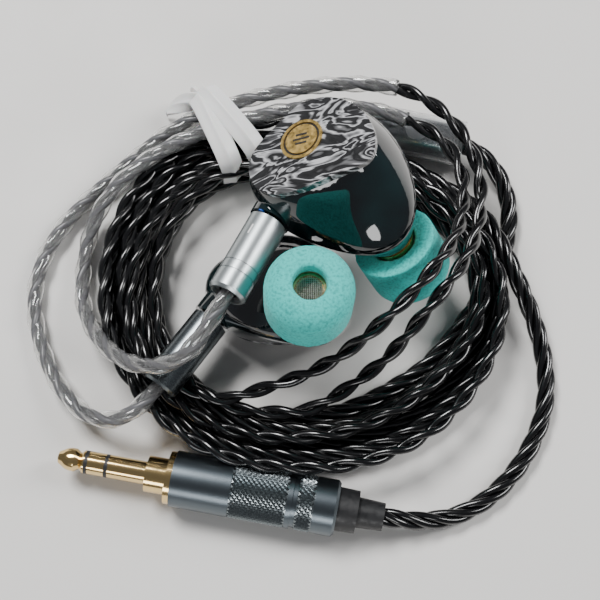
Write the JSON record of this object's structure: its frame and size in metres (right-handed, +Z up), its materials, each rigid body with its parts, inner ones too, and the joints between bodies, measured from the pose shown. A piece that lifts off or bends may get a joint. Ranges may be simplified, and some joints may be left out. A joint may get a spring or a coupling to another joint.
{
  "type": "in-ear monitors",
  "caption": "Wired in-ear monitors with foam tips and detachable two-pin cable, stored as a tied coil with shaped ear hooks, Y splitter, chin slider and jack plug.",
  "frame": {"origin": "under the middle of the two earpieces, on the table that the coil lies on", "axes": "+Z up from the table, +X along the longer side of the two earpieces' box, from the ear hooks' side of the coil to the splitter's side, +Y away from the plug"},
  "size_m": [0.0837, 0.0721, 0.0314],
  "materials": {
    "shell_black": "polished black acrylic resin",
    "faceplate_resin": "clear-coated marbled resin, dark grey and silver",
    "badge_gold": "brushed gold plate with a dark engraved ring",
    "nozzle_brass": "polished light brass",
    "steel_mesh": "woven steel wire",
    "driver_steel": "plain stamped steel",
    "film": "thin polymer film",
    "printed_resin": "printed resin",
    "circuit_board": "green solder mask",
    "socket_black": "moulded black plastic",
    "foam": "turquoise memory foam with fine speckles",
    "core_plastic": "soft black tube",
    "pin_gold": "gold plate",
    "insert_black": "moulded black plastic",
    "cable_black": "glossy black sleeve on every strand",
    "hook_clear": "clear heat-formed sleeve",
    "mark_blue": "blue paint dot",
    "mark_red": "red paint dot",
    "connector_silver": "satin silver-grey anodising",
    "connector_grey": "satin dark grey anodising",
    "gunmetal": "satin gunmetal anodising, knurled bands",
    "splitter_silver": "satin aluminium",
    "slider_clear": "clear moulded tube",
    "tie_white": "flat white plastic ribbon over a wire",
    "plug_gold": "polished gold plate",
    "relief_black": "soft black moulding"
  },
  "bodies": {
    "cable_assembly": {"cable_coil": "cable_black", "left_cable_grip": "cable_black", "left_connector_barrel": "connector_silver", "left_connector_insert": "insert_black", "left_connector_pins": "pin_gold", "left_ear_cable": "cable_black", "left_ear_hook": "hook_clear", "main_cable": "cable_black", "plug_barrel": "gunmetal", "plug_cable_clamp": "relief_black", "plug_collar": "plug_gold", "plug_insulators": "socket_black", "plug_rear_collar": "gunmetal", "plug_ring": "plug_gold", "plug_sleeve": "plug_gold", "plug_strain_relief": "relief_black", "plug_terminals": "pin_gold", "plug_tip": "plug_gold", "right_cable_grip": "cable_black", "right_connector_barrel": "connector_grey", "right_connector_insert": "insert_black", "right_connector_pins": "pin_gold", "right_ear_cable": "cable_black", "right_ear_hook": "hook_clear", "splitter_badge": "splitter_silver", "splitter_barrel": "gunmetal", "splitter_cap": "splitter_silver", "splitter_joint": "socket_black", "twist_tie": "tie_white"},
    "left_earpiece": {"left_shell": "shell_black", "left_faceplate": "faceplate_resin", "left_badge": "badge_gold", "left_nozzle": "nozzle_brass", "left_nozzle_mesh": "steel_mesh", "left_driver_frame": "driver_steel", "left_driver_magnet": "driver_steel", "left_diaphragm": "film", "left_driver_baffle": "printed_resin", "left_armature_driver": "driver_steel", "left_crossover_board": "circuit_board", "left_socket": "socket_black", "left_channel_mark": "mark_blue"},
    "right_earpiece": {"right_shell": "shell_black", "right_faceplate": "faceplate_resin", "right_badge": "badge_gold", "right_nozzle": "nozzle_brass", "right_nozzle_mesh": "steel_mesh", "right_driver_frame": "driver_steel", "right_driver_magnet": "driver_steel", "right_diaphragm": "film", "right_driver_baffle": "printed_resin", "right_armature_driver": "driver_steel", "right_crossover_board": "circuit_board", "right_socket": "socket_black", "right_channel_mark": "mark_red"},
    "left_tip": {"left_foam_tip": "foam", "left_tip_core": "core_plastic"},
    "right_tip": {"right_foam_tip": "foam", "right_tip_core": "core_plastic"},
    "chin_slider": {"chin_slider": "slider_clear"}
  },
  "joints": [
    {"name": "left_connector_pull", "type": "slide", "parent": "cable_assembly", "child": "left_earpiece", "axis": [0.4537, 0.8814, -0.1314], "range_m": [0, 0.0022]},
    {"name": "right_connector_pull", "type": "slide", "parent": "cable_assembly", "child": "right_earpiece", "axis": [0.5903, 0.8056, -0.0507], "range_m": [0, 0.0022]},
    {"name": "left_tip_pull", "type": "slide", "parent": "left_earpiece", "child": "left_tip", "axis": [0.4477, -0.3508, -0.8225], "range_m": [0, 0.0062]},
    {"name": "right_tip_pull", "type": "slide", "parent": "right_earpiece", "child": "right_tip", "axis": [0.0205, 0.0502, 0.9985], "range_m": [0, 0.0062]},
    {"name": "chin_slide", "type": "slide", "parent": "cable_assembly", "child": "chin_slider", "axis": [-0.9763, 0.2164, 0], "range_m": [0, 0.006]}
  ]
}
